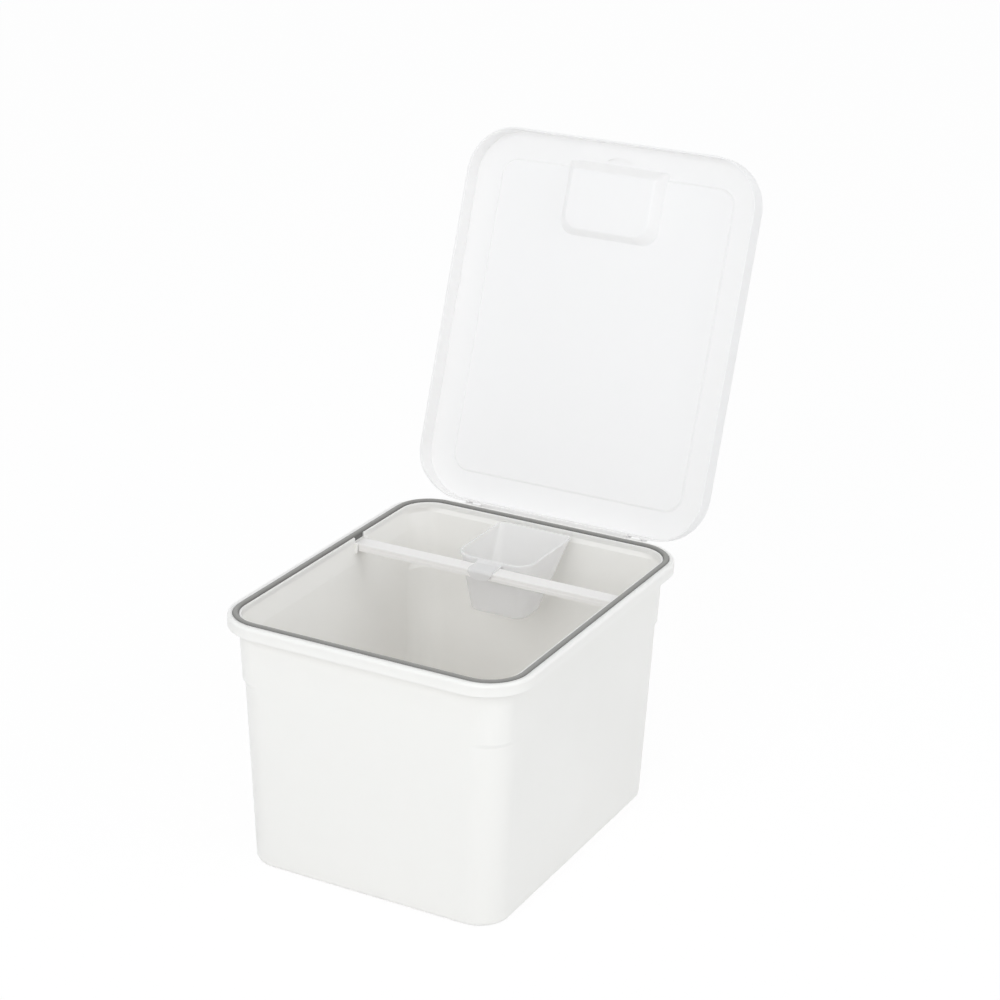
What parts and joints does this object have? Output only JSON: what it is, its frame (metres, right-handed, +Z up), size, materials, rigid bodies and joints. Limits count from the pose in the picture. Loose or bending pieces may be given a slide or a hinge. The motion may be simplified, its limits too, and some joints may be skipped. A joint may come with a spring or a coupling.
{
  "type": "rice storage bin",
  "caption": "Rectangular rice storage bin with a hinged lid on a sealed rim, a levelling bar across its mouth and a measuring cup hung on the bar.",
  "frame": {"origin": "Centre of the tub's underside, on the surface that it stands on.", "axes": "+Z up. -Y to the front, away from the hinge. +X to the right, seen from the front. The lid is stored open, leaning back on its stop."},
  "size_m": [0.2638, 0.4342, 0.5138],
  "materials": {
    "tub": "moulded satin",
    "seal": "satin silicone",
    "lid": "moulded satin",
    "bar": "moulded satin",
    "cup": "clear frosted"
  },
  "bodies": {
    "tub": {"tub": "tub", "rim_seal": "seal"},
    "lid": {"lid": "lid"},
    "bar": {"levelling_bar": "bar"},
    "cup": {"measuring_cup": "cup"}
  },
  "joints": [
    {"name": "lid_hinge", "type": "hinge", "parent": "tub", "child": "lid", "pos_m": [0, 0.1647, 0.20375], "axis": [1, 0, 0], "range_deg": [0, 108.5]},
    {"name": "bar_lift", "type": "slide", "parent": "tub", "child": "bar", "axis": [0, 0, 1], "range_m": [0, 0.1]},
    {"name": "cup_lift", "type": "slide", "parent": "bar", "child": "cup", "axis": [0, 0, 1], "range_m": [0, 0.1]}
  ]
}
